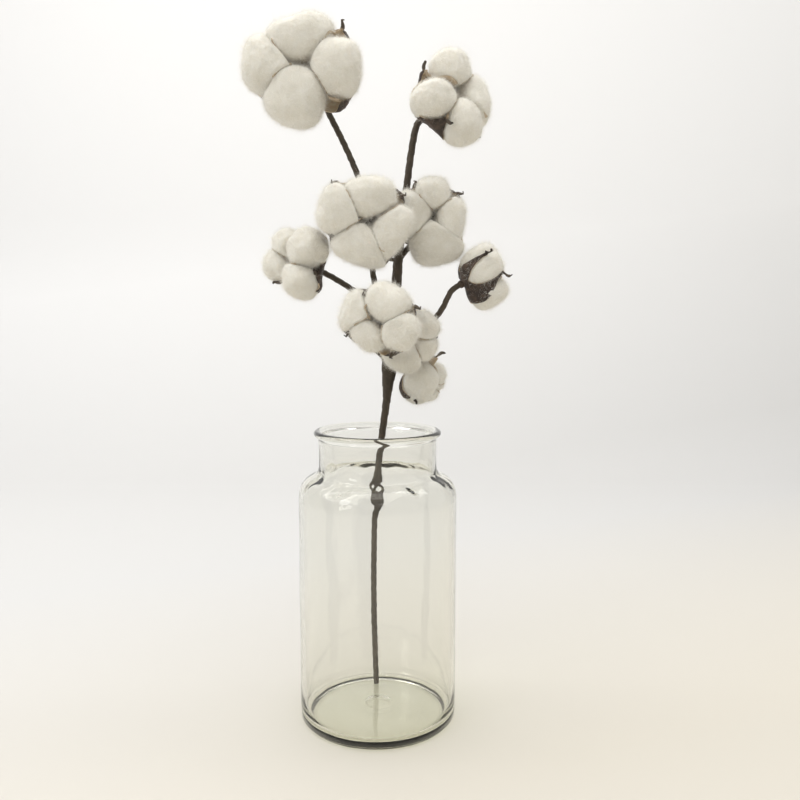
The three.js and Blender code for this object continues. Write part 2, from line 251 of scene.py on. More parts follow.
def smooth_profile(corners, step):
    """A smooth curve through the corners of a profile, in steps of about the given length."""
    ends = [corners[0], *corners, corners[-1]]
    points = []
    for a, b, c, d in zip(ends, ends[1:], ends[2:], ends[3:]):
        a, b, c, d = (np.array(p, float) for p in (a, b, c, d))
        pieces = max(2, min(8, round(np.linalg.norm(c - b) / step)))
        points += [curve_point(a, b, c, d, t) for t in np.arange(pieces) / pieces]
    return points + [np.array(corners[-1], float)]


def turned_faces(rings, sides):
    """The faces of a turned shape: rings of points between a first and a last point on its axis."""
    faces = []
    for side in range(sides):
        after = (side + 1) % sides
        faces.append((0, 1 + after, 1 + side))
        for ring in range(rings - 1):
            a, b = 1 + ring * sides + side, 1 + ring * sides + after
            faces.append((a, b, b + sides, a + sides))
        last = 1 + (rings - 1) * sides
        faces.append((last + side, last + after, last + sides))
    return faces


def jar_points(profile, turns, most_sag):
    """The profile turned about Z, with the slow waves of glass that cooled in a mould, and
    with the uneven sag of the skin round the foot of the neck."""
    points = []
    for radius, height in profile:
        sag = most_sag * max(0.0, 1 - ((height - SAG_HEIGHT) / SAG_REACH) ** 2)
        wave_depth = min(1.0, radius / 30) * (WALL_WAVES if 8 < height < 192 else EDGE_WAVES)
        for turn in turns:
            x, y = math.cos(turn), math.sin(turn)
            wave = noise.noise((1.6 * x, 1.6 * y, height / 38))
            wave += 0.4 * noise.noise((5 * x, 5 * y, height / 16))
            sagged = noise.noise((2.3 * x, 2.3 * y, 7.5)) + 0.5 * noise.noise((6 * x, 6 * y, height / 5))
            reach = radius + wave_depth * wave - 0.35 * sag * abs(sagged)
            level = max(0.0, height + sag * sagged)
            points.append((reach * x * MM, reach * y * MM, level * MM))
    return points


def jar_mesh(material):
    """One closed wall: up the outer skin, over the lip, and down the inner skin to the floor."""
    outside, inside = [smooth_profile(corners, PROFILE_STEP) for corners in (JAR_OUTSIDE, JAR_INSIDE)]
    turns = np.linspace(0, 2 * math.pi, JAR_SIDES, endpoint=False)
    body = jar_points(outside[1:], turns, 0.0) + jar_points(inside[:-1], turns, MOST_SAG)
    points = [(0, 0, outside[0][1] * MM), *body, (0, 0, inside[-1][1] * MM)]
    return mesh_piece("pressed_jar", points, turned_faces(len(body) // JAR_SIDES, JAR_SIDES), material)


jar_glass, tree = new_material("clear_green_glass")
clear = tree.node("ShaderNodeBsdfPrincipled", {}, {
    "Base Color": (0.985, 0.985, 0.97, 1), "Roughness": 0.0, "IOR": 1.5, "Transmission Weight": 1.0,
})
unshaded = tree.node("ShaderNodeBsdfTransparent", {}, {"Color": (0.93, 0.945, 0.92, 1)})
shadow_ray = tree.node("ShaderNodeLightPath")["Is Shadow Ray"]
glass = tree.node("ShaderNodeMixShader", {}, {0: shadow_ray, 1: clear[0], 2: unshaded[0]})
tint = tree.node("ShaderNodeVolumeAbsorption", {}, {"Color": (0.44, 0.41, 0.14, 1), "Density": 21.0})
finish_material(tree, Surface=glass[0], Volume=tint[0])

glass_jar = jar_mesh(jar_glass)
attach(glass_jar, "root")
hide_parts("glass_jar")


# ---------------------------------------------------------------- open bolls
# Nine ripe bolls, burst open and dried: where each one is and which way it faces,
# in millimetres. A lock of lint is (angle, reach, long, wide, rise), the tip of a
# valve is (angle, reach, rise), and belly is how far out the valves bulge.

BOLLS = {
    "top_left": dict(
        centre=(-47.1, 8, 446), axis=(-0.08, -0.98, 0.08), radius=40, depth=27, tall=17,
        locks=[(106, 18.5, 13, 24.5, 0), (179, 27, 15.5, 18.5, 0),
               (251, 23.5, 17, 19.5, 0), (-4, 23.5, 13.5, 18, 0)],
        valves=[(43, 37.5, 5), (142, 31, -2), (214, 31, -2), (-45, 38, 3)]),
    "top_right": dict(
        centre=(52.2, 28, 429.4), axis=(0.72, -0.62, 0.3), radius=31, depth=21, tall=14,
        locks=[(90, 22, 11, 13, 3), (187, 17.5, 16.5, 12.5, -4),
               (268, 18.5, 15, 13, 2), (-8, 15, 9.5, 20, 4)],
        valves=[(137, 32, -1), (228, 29, 5), (-48, 30, 1), (56, 30, 5)]),
    "middle_left": dict(
        centre=(-3.5, -9, 343.5), axis=(0.15, -0.98, -0.05), radius=32, depth=22, tall=14,
        locks=[(97, 15.5, 12, 18, 0), (164, 24, 12, 16.5, 0),
               (249, 19.5, 11, 20.5, 0), (-33, 15.5, 10, 19.5, 1)],
        valves=[(134, 34, 4), (42, 28, 3), (-63, 30, 3), (205, 26, 0)]),
    "middle_right": dict(
        centre=(38.9, 20, 347.6), axis=(0.05, -0.98, -0.05), radius=28, depth=19, tall=13,
        locks=[(94, 17, 11.5, 12, 0), (170, 15, 13.5, 17.5, 0),
               (279, 14.5, 17.5, 19.5, 0), (-7, 11, 10.5, 18, 0)],
        valves=[(47, 25, 3), (123, 27, 2), (-48, 24, 1), (215, 24, -2)]),
    "lower_front": dict(
        centre=(2.4, -22, 277.4), axis=(-0.1, -0.97, 0.1), radius=27, depth=19, tall=13,
        locks=[(65, 12, 13, 15, 3), (159, 16.5, 9.5, 15, 0),
               (228, 11, 9.5, 13, -1), (-25, 16, 11, 13, 2)],
        valves=[(112, 18, 10), (22, 28, 4), (198, 23, 2), (294, 24.5, 4)]),
    "lower_back": dict(
        centre=(22.5, 11, 263.4), axis=(0.25, -0.9, -0.2), radius=21, depth=15, tall=11,
        locks=[(50, 14, 10, 11, 0), (150, 9, 9, 10, 0),
               (244, 10, 13, 15, 0), (-20, 10, 10, 10, 0)],
        valves=[(100, 17, 0), (197, 15, 0), (292, 17, 0), (15, 18, 0)]),
    "lower_right": dict(
        centre=(31, 32, 234.8), axis=(0.8, -0.35, -0.45), radius=15, depth=12, tall=12,
        locks=[(42, 9, 8, 8, 2), (185, 6, 9, 16, 2),
               (318, 9, 8, 8, 2), (0, 9, 8, 8, 2)],
        valves=[(25, 17, 5), (108, 28, 8), (228, 18, 8), (335, 16, 5)], belly=1.08),
    "left": dict(
        centre=(-54.4, 10, 317.5), axis=(-0.72, -0.62, 0.3), radius=23, depth=17, tall=13,
        locks=[(39, 12.5, 14, 13, 1), (125, 14, 10, 10, 4),
               (192, 15, 10, 11.5, 3), (-58, 17, 11, 11, -1)],
        valves=[(78, 22, -4), (160, 24, 3), (238, 21, 6), (-24, 21, -1)]),
    "right": dict(
        centre=(71.4, 20, 311.2), axis=(0.84, 0, 0.54), radius=15, depth=14, tall=13.5,
        locks=[(90, 8, 9, 9, 4), (178, 8, 9, 10, 3),
               (262, 15.5, 10, 11, -3), (0, 8, 9, 10, 3)],
        valves=[(149, 19.5, 11), (45, 16, 9), (219, 17, 14), (315, 16, 9)], belly=1.0),
}
BURR_NECK = 3
STRAIGHT_RUN, SUNK = 6, 1


def face_frame(boll):
    """Right, up and forward of a boll's open face as the columns of a matrix, and its centre."""
    forward = np.array(boll["axis"], float)
    forward /= np.linalg.norm(forward)
    up = np.array([0, 0, 1.0]) - forward[2] * forward
    up /= np.linalg.norm(up)
    return np.stack([np.cross(up, forward), up, forward], axis=1), np.array(boll["centre"], float)


def placed(boll, points):
    """Points of a boll's own frame, in millimetres, put where the boll is, in metres."""
    turn, centre = face_frame(boll)
    return (np.asarray(points) @ turn.T + centre) * MM


def into_burr(boll):
    """The last two points of a boll's stem: it runs straight at the burr and ends sunk in it."""
    turn, centre = face_frame(boll)
    back = -boll["depth"] - BURR_NECK
    return [centre + turn @ np.array([0, 0, back - gap]) for gap in (STRAIGHT_RUN, -SUNK)]


# --------------------------------------------------------- wrapped main stem
# A woody cotton stem wound from the jar upwards in dark brown crepe paper
# tape. Each turn laps over the one before. Above the rim the ends of the side
# branches are bound in under the tape, so the stem is thick and lobed there.

LEADER_BOLL = "top_right"
STEM = [
    (-2.4, 33.0, 5.7, 2.0), (-4.0, 33.4, 69, 2.1), (-3.3, 33.8, 130, 2.1), (-1.0, 34.1, 165, 2.5),
    (1.9, 34.2, 191, 2.4), (4.4, 34.3, 209, 2.6), (5.9, 35.0, 221, 2.9), (6.8, 35.4, 233, 4.2),
    (8.1, 35.8, 244, 5.7), (9.8, 36.0, 265, 5.2), (12.6, 36.0, 299, 3.8), (15.2, 36.0, 332, 3.2),
    (20.1, 37.0, 371, 2.5), (24.4, 40.0, 402, 2.4), (27.5, 43.5, 416, 2.3),
]
BOUND_FROM, BOUND_TO, BOUND_BULGE = 228, 305, 0.8
STEM_PITCH, STEM_SIDES = 8.5, 22
TAPE_STEP = 0.9
TAPE_LAP, TAPE_CRINKLE, TAPE_THICKNESS = 0.38, 0.5, 0.2
LOBES, LOBE_TWIST = 3, 4.0
TAPE_BROWN, TAPE_WORN = (0.068, 0.052, 0.035), (0.20, 0.147, 0.10)


def through_points(corners, step):
    """A centripetal Catmull-Rom curve through points in space, in even steps."""
    corners = [np.array(c, float) for c in corners]
    first, last = 2 * corners[0] - corners[1], 2 * corners[-1] - corners[-2]
    ends = [first, *corners, last]
    fine = []
    for a, b, c, d in zip(ends, ends[1:], ends[2:], ends[3:]):
        ta = 0.0
        tb = ta + np.linalg.norm(b - a) ** 0.5
        tc = tb + np.linalg.norm(c - b) ** 0.5
        td = tc + np.linalg.norm(d - c) ** 0.5
        for t in np.linspace(tb, tc, 24, endpoint=False):
            ab = (tb - t) / (tb - ta) * a + (t - ta) / (tb - ta) * b
            bc = (tc - t) / (tc - tb) * b + (t - tb) / (tc - tb) * c
            cd = (td - t) / (td - tc) * c + (t - tc) / (td - tc) * d
            abc = (tc - t) / (tc - ta) * ab + (t - ta) / (tc - ta) * bc
            bcd = (td - t) / (td - tb) * bc + (t - tb) / (td - tb) * cd
            fine.append((tc - t) / (tc - tb) * abc + (t - tb) / (tc - tb) * bcd)
    fine = np.array([*fine, corners[-1]])
    walked = np.concatenate([[0], np.cumsum(np.linalg.norm(np.diff(fine, axis=0), axis=1))])
    even = np.linspace(0, walked[-1], max(2, round(walked[-1] / step)) + 1)
    return np.stack([np.interp(even, walked, fine[:, k]) for k in range(3)], axis=1)


def group_tree(name, sockets):
    """An empty Geometry Nodes group with its named inputs, and one output of geometry."""
    group = bpy.data.node_groups.new(name, "GeometryNodeTree")
    group.interface.new_socket("Geometry", in_out="OUTPUT", socket_type="NodeSocketGeometry")
    for socket, kind in sockets.items():
        group.interface.new_socket(socket, in_out="INPUT", socket_type="NodeSocket" + kind)
    tree = Tree(group)
    return group, tree, tree.node("NodeGroupInput")


def grown(group, mesh, name, values):
    """The plain mesh that a Geometry Nodes group makes of a mesh, as a new piece."""
    seedling = bpy.data.objects.new(name + "_seedling", mesh)
    bpy.context.scene.collection.objects.link(seedling)
    modifier = seedling.modifiers.new("grow", "NODES")
    modifier.node_group = group
    for item in group.interface.items_tree:
        if item.in_out == "INPUT" and item.name in values:
            modifier[item.identifier] = values[item.name]
    evaluated = seedling.evaluated_get(bpy.context.evaluated_depsgraph_get())
    result = bpy.data.meshes.new_from_object(evaluated)
    bpy.data.objects.remove(seedling)
    piece = bpy.data.objects.new(name, result)
    result.name = name
    bpy.context.scene.collection.objects.link(piece)
    return piece


def tape_group():
    """Paper tape wound along a path: a tube with a lapped step at every turn."""
    group, tree, given = group_tree("wound_tape", {
        "Geometry": "Geometry", "Pitch": "Float", "Lap": "Float", "Crinkle": "Float", "Sides": "Int",
        "Material": "Material",
    })

    def store(geometry, name, value):
        return tree.node("GeometryNodeStoreNamedAttribute", {"data_type": "FLOAT", "domain": "POINT"},
                         {"Geometry": geometry, "Name": name, "Value": value})[0]

    def read(name):
        return tree.node("GeometryNodeInputNamedAttribute", {"data_type": "FLOAT"}, {0: name})[0]

    path = tree.node("GeometryNodeMeshToCurve", {}, {0: given["Geometry"]})[0]
    path = store(path, "along", tree.node("GeometryNodeSplineParameter")["Length"])
    ring = tree.node("GeometryNodeCurvePrimitiveCircle", {}, {0: given["Sides"], "Radius": 1.0})[0]
    ring = store(ring, "turn", tree.node("GeometryNodeSplineParameter")["Factor"])
    tube = tree.node("GeometryNodeCurveToMesh", {}, {
        "Curve": path, "Profile Curve": ring, "Scale": read("thick"), "Fill Caps": True,
    })[0]
    place = tree.node("GeometryNodeInputPosition")[0]
    wander = tree.node("ShaderNodeTexNoise", {}, {"Vector": place, "Scale": 55.0, "Detail": 1.0})[0]
    winding = read("along") / given["Pitch"] + read("turn") + 0.5 * wander
    share = tree.node("ShaderNodeMath", {"operation": "FRACT"}, {0: winding})[0]
    lap = (1.0 - share) ** 0.7 * given["Lap"]
    wrinkle = tree.node("ShaderNodeTexNoise", {}, {"Vector": place, "Scale": 600.0, "Detail": 2.0})[0]
    lobes = tree.node("ShaderNodeMath", {"operation": "COSINE"},
                      {0: 2 * math.pi * (LOBES * read("turn") + read("along") * LOBE_TWIST)})[0]
    swell = lap + (wrinkle - 0.5) * given["Crinkle"] + lobes * read("bound")
    normal = tree.node("GeometryNodeInputNormal")[0]
    offset = tree.node("ShaderNodeVectorMath", {"operation": "SCALE"}, {0: normal, "Scale": swell})[0]
    tube = tree.node("GeometryNodeSetPosition", {}, {"Geometry": tube, "Offset": offset})[0]
    tube = tree.node("GeometryNodeRealizeInstances", {}, {0: store(tube, "lap", share)})[0]
    tube = tree.node("GeometryNodeSetMaterial", {}, {"Geometry": tube, "Material": given["Material"]})[0]
    tree.node("NodeGroupOutput", {}, {0: tube})
    return group


stem_tape, tree = new_material("brown_paper_tape")
place = tree.node("ShaderNodeTexCoord")["Object"]
blotch = tree.node("ShaderNodeTexNoise", {}, {"Vector": place, "Scale": 140.0, "Detail": 4.0})[0]
lapped = tree.node("ShaderNodeAttribute", {"attribute_name": "lap"})["Fac"]
worn = ((lapped - 0.9) * 9.0).clamped() * 0.55 + ((blotch - 0.52) * 3.0).clamped() * 0.4
colour = tree.blend(worn.clamped(), TAPE_BROWN, TAPE_WORN)
crepe = tree.node("ShaderNodeTexNoise", {}, {"Vector": place, "Scale": 1300.0, "Detail": 3.0})[0]
rough = tree.node("ShaderNodeBump", {}, {"Strength": 0.5, "Distance": 0.0004, "Height": crepe})
paper = tree.node("ShaderNodeBsdfPrincipled", {}, {
    "Base Color": colour, "Roughness": 0.72, "Normal": rough[0], "Sheen Weight": 0.1,
})
finish_material(tree, Surface=paper[0])
WOUND_TAPE = tape_group()


def store_values(mesh, named_values):
    """One number for each point of a mesh, under each name."""
    for name, values in named_values.items():
        mesh.attributes.new(name, "FLOAT", "POINT").data.foreach_set("value", values)


def wrapped_stem(name, corners, radius, pitch, sides, bulge=lambda point: 0.0):
    """A stem along the corners, in millimetres, wound in tape at the given pitch."""
    path = through_points(corners, TAPE_STEP)
    mesh = bpy.data.meshes.new(name + "_path")
    mesh.from_pydata([tuple(p * MM) for p in path], [(i, i + 1) for i in range(len(path) - 1)], [])
    store_values(mesh, {
        "thick": [(radius(point) - TAPE_THICKNESS) * MM for point in path],
        "bound": [bulge(point) * MM for point in path],
    })
    piece = grown(WOUND_TAPE, mesh, name, {
        "Pitch": pitch * MM, "Lap": TAPE_LAP * MM, "Crinkle": TAPE_CRINKLE * MM, "Sides": sides,
        "Material": stem_tape,
    })
    piece.data.shade_smooth()
    return piece


def stem_radius(point):
    """The main stem's radius at the height of a point, tape and all."""
    heights, radii = [row[2] for row in STEM], [row[3] for row in STEM]
    return float(np.interp(point[2], heights, radii))


def stem_bulge(point):
    """How far the bound-in branches bulge the tape at the height of a point."""
    middle, half = (BOUND_FROM + BOUND_TO) / 2, (BOUND_TO - BOUND_FROM) / 2
    return BOUND_BULGE * max(0.0, 1 - ((point[2] - middle) / half) ** 2)


stem_corners = [row[:3] for row in STEM] + into_burr(BOLLS[LEADER_BOLL])
main_stem = wrapped_stem("taped_stem", stem_corners, stem_radius, STEM_PITCH, STEM_SIDES, stem_bulge)
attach(main_stem, "root")
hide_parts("main_stem")


# ------------------------------------------------------------- side branches
# Each boll but the leader's sits at the end of a side branch, a thinner stem
# wound in the same tape, that is bound into the main stem at its lower end.
# Each is given as the height where it leaves, its radius and what it passes.

BRANCH_PITCH, BRANCH_SIDES = 6.5, 14
BRANCHES = {
    "top_left": (268, 2.1, [(-2, 37, 301), (-12, 38, 372), (-37.2, 39, 428)]),
    "left": (262, 2.0, [(2, 29, 284), (-20, 28, 300.4)]),
    "right": (250, 2.0, [(20, 36, 259), (43.5, 24, 283)]),
    "middle_left": (326, 2.0, []),
    "middle_right": (320, 2.0, [(26, 40, 335)]),
    "lower_front": (240, 2.0, [(4, 27, 251), (-4.5, 16, 262)]),
    "lower_back": (264, 2.0, []),
    "lower_right": (240, 1.8, []),
}
stem_line = through_points(stem_corners, TAPE_STEP)

for name, (leaves, radius, passed) in BRANCHES.items():
    start = stem_line[np.argmax(stem_line[:, 2] >= leaves)]
    corners = [start, *passed, *into_burr(BOLLS[name])]
    branch = wrapped_stem("taped_branch_" + name, corners, lambda point: radius, BRANCH_PITCH, BRANCH_SIDES)
    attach(branch, "root")
    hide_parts(name + "_branch")


# --------------------------------------------------------------------- burrs
# The dried case of each boll: a cup that splits into four hard valves, dark
# outside and tan inside, which hug the locks and end in a twisted dark horn.
# Thin walls from valve to middle show as brown lines in the locks' creases.

VALVE_BODY, VALVE_HORN, VALVE_ACROSS = 26, 9, 13
SEPTUM_LONG, SEPTUM_HIGH = 20, 4
BELLY = 0.86
WIDEST, NARROWEST, FLUTTER = 11.0, 1.1, 0.9
HORN_LENGTH, HORN_WIDE, HORN_TAPER, HORN_TWIST = 6.0, 1.5, 0.85, 1.8
VALVE_THICK, HORN_THICK, RIB_HIGH, SEPTUM_THICK = 0.4, 0.35, 0.2, 0.28
LOCK_CLEARANCE, PUSH, PUSHES, MOST_LIP_PUSH = 0.5, 0.35, 24, 1.5
ROOT_PUSH = (0.1, 0.35, 0.6, 0.8)
PLUMP = 2.5
CREASE_FILL = 1.4
CUP_SIDES, CUP_RIBS, CUP_STEP = 28, 12, 1.0
IN_CUP, ON_SEPTUM = 0.15, 0.58
BURR_DARK, BURR_BROWN = (0.034, 0.022, 0.016), (0.105, 0.070, 0.050)
BURR_TAN, BURR_STRAW, HORN_DARK = (0.72, 0.56, 0.38), (0.86, 0.75, 0.57), (0.030, 0.020, 0.014)


def catmull(corners, shares):
    """Points at even shares of a uniform Catmull-Rom curve, and the directions there."""
    corners = np.array(corners, float)
    ends = np.array([2 * corners[0] - corners[1], *corners, 2 * corners[-1] - corners[-2]])
    places, ways = [], []
    for share in shares:
        along = min(share, 0.99999) * (len(corners) - 1)
        i, t = int(along), along - int(along)
        a, b, c, d = ends[i : i + 4]
        places.append(curve_point(a, b, c, d, t))
        way = 0.5 * ((c - a) + 2 * (2 * a - 5 * b + 4 * c - d) * t + 3 * (3 * b - a - 3 * c + d) * t**2)
        ways.append(way / np.linalg.norm(way))
    return np.array(places), np.array(ways)


def rotated(points, degrees):
    """Points of a boll's own frame turned about its axis."""
    turn = math.radians(degrees)
    c, s = math.cos(turn), math.sin(turn)
    return np.asarray(points) @ np.array([[c, s, 0], [-s, c, 0], [0, 0, 1]])


def lock_middle(lock):
    """The middle of a lock, in its boll's own frame."""
    angle, reach, _, _, rise = lock
    return rotated([(reach, 0, rise)], angle)[0]


def lock_sizes(boll, lock, inward):
    """Half sizes of a lock at points of it. Its inward half runs in to the boll's axis."""
    long = np.where(inward, max(lock[2], lock[1] - 1), lock[2])
    return np.stack([long, np.full(len(long), lock[3]), np.full(len(long), boll["tall"])], axis=1)


def within_locks(boll, points, clearance):
    """Which points of the boll's own frame lie in a lock, or nearer to one than the clearance."""
    within = np.zeros(len(points), bool)
    for lock in boll["locks"]:
        local = rotated(points, -lock[0]) - (lock[1], 0, lock[4])
        sizes = lock_sizes(boll, lock, local[:, 0] < 0) + clearance
        within |= (np.abs(local / sizes) ** PLUMP).sum(axis=1) < 1
    return within


def girth(boll, lock, way):
    """Half size of a lock in the given direction, as far as its neighbours feel it."""
    sizes = np.array((lock[2], lock[3], boll["tall"]))
    return (np.abs(rotated([way], -lock[0])[0] / sizes) ** PLUMP).sum() ** (-1 / PLUMP)


def seam(boll, lock, other):
    """The plane where two locks press on each other: a point of it, and the way into the first."""
    here, there = lock_middle(lock), lock_middle(other)
    distance = np.linalg.norm(here - there)
    away = (here - there) / distance
    mine, theirs = girth(boll, lock, away), girth(boll, other, away)
    return here - away * distance * mine / (mine + theirs), away


def plate(grid, inner, outer, start):
    """A closed plate round a grid of points, given how far it swells on either side."""
    normals = np.cross(np.gradient(grid, axis=0), np.gradient(grid, axis=1))
    normals /= np.linalg.norm(normals, axis=2, keepdims=True)
    points = [*(grid + normals * inner[..., None]).reshape(-1, 3)]
    points += [*(grid - normals * outer[..., None]).reshape(-1, 3)]
    long, across = grid.shape[:2]
    under, faces = long * across, []
    for j in range(long - 1):
        for i in range(across - 1):
            a = start + j * across + i
            faces.append((a, a + across, a + across + 1, a + 1))
            faces.append((under + a, under + a + 1, under + a + across + 1, under + a + across))
        for a, way in ((start + j * across, -1), (start + (j + 1) * across - 1, 1)):
            faces.append((a, a + across, under + a + across, under + a)[::way])
    for i in range(across - 1):
        for a, way in ((start + i, 1), (start + (long - 1) * across + i, -1)):
            faces.append((a, a + 1, under + a + 1, under + a)[::way])
    return points, faces


def valve_grid(boll, tip, seed):
    """The middle surface of a valve, from the cup to its lip and on to the end of its horn."""
    angle, reach, rise = tip
    radius, depth = boll["radius"], boll["depth"]
    belly, widest = boll.get("belly", BELLY) * radius, min(WIDEST, 0.36 * radius + 0.3)
    swell = 0.6 * (belly / radius - BELLY)
    side = math.copysign(1, noise.noise((seed, 1.7, 0.3)))
    lip = np.array((reach - 0.75 * HORN_LENGTH, 0, rise - 0.45 * HORN_LENGTH))
    corners = [(0.04 * radius, 0, -depth), (0.55 * belly, 0, -(0.85 + swell) * depth),
               (belly, 0, -(0.4 + swell) * depth), lip]
    body = catmull(corners, np.linspace(0, 1, VALVE_BODY))
    bends = [(0, 0, 0), (0.25, 0.03 * side, 0.08), (0.5, 0.35 * side, 0.2), (0.62, 0.5 * side, 0.5),
             (0.8, 0.3 * side, 0.62)]
    corners = [lip + HORN_LENGTH * np.array(bend) for bend in bends]
    horn = catmull(corners, np.linspace(0, 1, VALVE_HORN + 1)[1:])
    v = np.linspace(-1, 1, VALVE_ACROSS)
    rows = []
    for share, middle, way in zip(np.linspace(0, 1, VALVE_BODY), *body):
        back = np.cross((0, 1, 0), way)
        full = math.sin(math.pi * (0.08 + 0.92 * share) ** 0.8)
        half = max(widest * full, NARROWEST)
        flutter = [FLUTTER * noise.noise((seed + 2 * x, 5 * share, 2.2)) * x * x * full for x in v]
        inward = 0.32 * half * v**2 + 0.10 * half * v**4 + flutter
        rows.append(middle + np.outer(v * half, (0, 1, 0)) - np.outer(inward, back))
    for share, middle, way in zip(np.linspace(0, 1, VALVE_HORN), *horn):
        across = np.cross(way, (0, 0, 1))
        across /= -np.linalg.norm(across)
        up, twist = np.cross(way, across), HORN_TWIST * side * share
        across = across * math.cos(twist) + up * math.sin(twist)
        rows.append(middle + np.outer(v * (HORN_WIDE - HORN_TAPER * share), across))
    return clear_of_locks(boll, rotated(np.array(rows), angle))


def clear_of_locks(boll, grid):
    """The grid of a valve, pushed outwards until its body lies smoothly on the backs of the locks."""
    ways = grid * (1, 1, 0.6)
    ways /= np.linalg.norm(ways, axis=2, keepdims=True)
    pushed = np.zeros(grid.shape[:2])
    for _ in range(PUSHES):
        moved = grid + ways * pushed[..., None]
        within = within_locks(boll, moved.reshape(-1, 3), LOCK_CLEARANCE).reshape(pushed.shape)
        pushed[:VALVE_BODY][within[:VALVE_BODY]] += PUSH
    needed = pushed.copy()
    for _ in range(6):
        pushed[1:-1] = (pushed[:-2] + 2 * pushed[1:-1] + pushed[2:]) / 4
        pushed[:, 1:-1] = (pushed[:, :-2] + 2 * pushed[:, 1:-1] + pushed[:, 2:]) / 4
        pushed = np.maximum(pushed, needed)
    lip = min(MOST_LIP_PUSH, pushed[VALVE_BODY - 1].mean())
    free = np.clip((np.arange(VALVE_BODY) - VALVE_BODY + 6) / 5, 0, 1)[:, None]
    pushed[:VALVE_BODY] = pushed[:VALVE_BODY] * (1 - free) + lip * free
    pushed[VALVE_BODY:] = lip
    ways[VALVE_BODY:] = ways[VALVE_BODY - 1, VALVE_ACROSS // 2]
    pushed[: len(ROOT_PUSH)] *= np.array(ROOT_PUSH)[:, None]
    return grid + ways * pushed[..., None]


def septum_grid(boll, tip):
    """The wall between two locks, from a valve's lip in along their seam, as high as their crease."""
    turns = [(lock[0] - tip[0]) % 360 for lock in boll["locks"]]
    place, away = seam(boll, boll["locks"][np.argmin(turns)], boll["locks"][np.argmax(turns)])
    level = np.array((away[0], away[1], 0)) / (away[0] ** 2 + away[1] ** 2)
    outwards = rotated([(1, 0, 0)], tip[0])[0]
    along = np.cross(level, (0, 0, 1))
    along *= np.sign(along @ outwards) / np.linalg.norm(along)
    lip = outwards * (tip[1] - 0.9 * HORN_LENGTH) + (0, 0, tip[2] - 0.5 * HORN_LENGTH)
    heights = np.arange(boll["tall"] + 4, -8, -0.25)
    steps = np.linspace(4.5, 0, SEPTUM_HIGH)
    rows = []
    for share in np.linspace(0, 1, SEPTUM_LONG):
        base = lip - along * share * 0.6 * tip[1]
        ladder = base * (1, 1, 0) + np.outer(heights, (0, 0, 1))
        ladder -= np.outer((ladder - place) @ away, level) * min(1, 4 * share)
        met = within_locks(boll, ladder, 0)
        crease = heights[np.argmax(met)] if met.any() else lip[2]
        top = (crease if share > 0.12 else min(crease, lip[2] + 1)) + 0.15 - 2.6 * share**2
        top += CREASE_FILL * max(0.0, 0.9 - 1.8 * share)
        treads = [int(np.argmin(np.abs(heights - (top - low)))) for low in steps]
        rows.append([(*ladder[tread][:2], top - low) for tread, low in zip(treads, steps)])
    return np.array(rows)


def cup_profile(boll):
    """The profile of the cup under the valves and of its short neck."""
    wide, back = 0.24 * boll["radius"], -boll["depth"]
    return smooth_profile([
        (0, back - BURR_NECK - 0.2), (2.1, back - BURR_NECK - 0.2), (2.6, back - BURR_NECK + 0.4),
        (2.7, back - 1.2), (0.72 * wide, back - 0.5), (wide, back + 1.2), (0.9 * wide, back + 2.6),
        (0.45 * wide, back + 2.6), (0, back + 2.2),
    ], CUP_STEP)


def cup_mesh(boll):
    """The cup, turned from its profile, with shallow ribs down it."""
    profile = cup_profile(boll)
    points = [(0, 0, profile[0][1])]
    for radius, height in profile[1:-1]:
        for turn in np.linspace(0, 2 * math.pi, CUP_SIDES, endpoint=False):
            ribbed = radius * (1 + 0.035 * math.cos(CUP_RIBS * turn) * min(1, radius / 4))
            points.append((ribbed * math.cos(turn), ribbed * math.sin(turn), height))
    points.append((0, 0, profile[-1][1]))
    return points, turned_faces(len(profile) - 2, CUP_SIDES)


def burr_piece(name, boll, seed):
    """The cup, valves and walls of one burr. Its attributes tell its inside and its horns apart."""
    points, faces = cup_mesh(boll)
    inside, horn = [IN_CUP] * len(points), [0.0] * len(points)
    across = np.abs(np.linspace(-1, 1, VALVE_ACROSS))
    length = np.concatenate([np.zeros(VALVE_BODY), np.linspace(0.25, 1, VALVE_HORN)])
    thick = np.where(length > 0, HORN_THICK * (2 - length), VALVE_THICK)[:, None]
    thick = thick * (1 - 0.5 * across**2)
    rib = RIB_HIGH * np.cos(8 * math.pi * across) * (1 - across) * (length == 0)[:, None]
    edge = np.clip((across - 0.86) / 0.3, 0, 1) * (length == 0)[:, None]
    dark = np.repeat(np.clip((np.arange(len(length)) - VALVE_BODY + 1.5) / 2, 0, 1), VALVE_ACROSS)
    for k, tip in enumerate(boll["valves"]):
        more, sheets = plate(valve_grid(boll, tip, seed + 3.7 * k), thick, thick + rib, len(points))
        points += more
        faces += sheets
        inside += [1.0] * thick.size + [*edge.ravel()]
        horn += [*dark] * 2
        wall = septum_grid(boll, tip)
        thin = np.full(wall.shape[:2], SEPTUM_THICK)
        more, sheets = plate(wall, thin, thin, len(points))
        points += more
        faces += sheets
        inside += [ON_SEPTUM] * (2 * thin.size)
        horn += [0.0] * (2 * thin.size)
    burr = mesh_piece(name, placed(boll, points), faces, husk)
    store_values(burr.data, {"inside": inside, "horn": horn})
    return burr


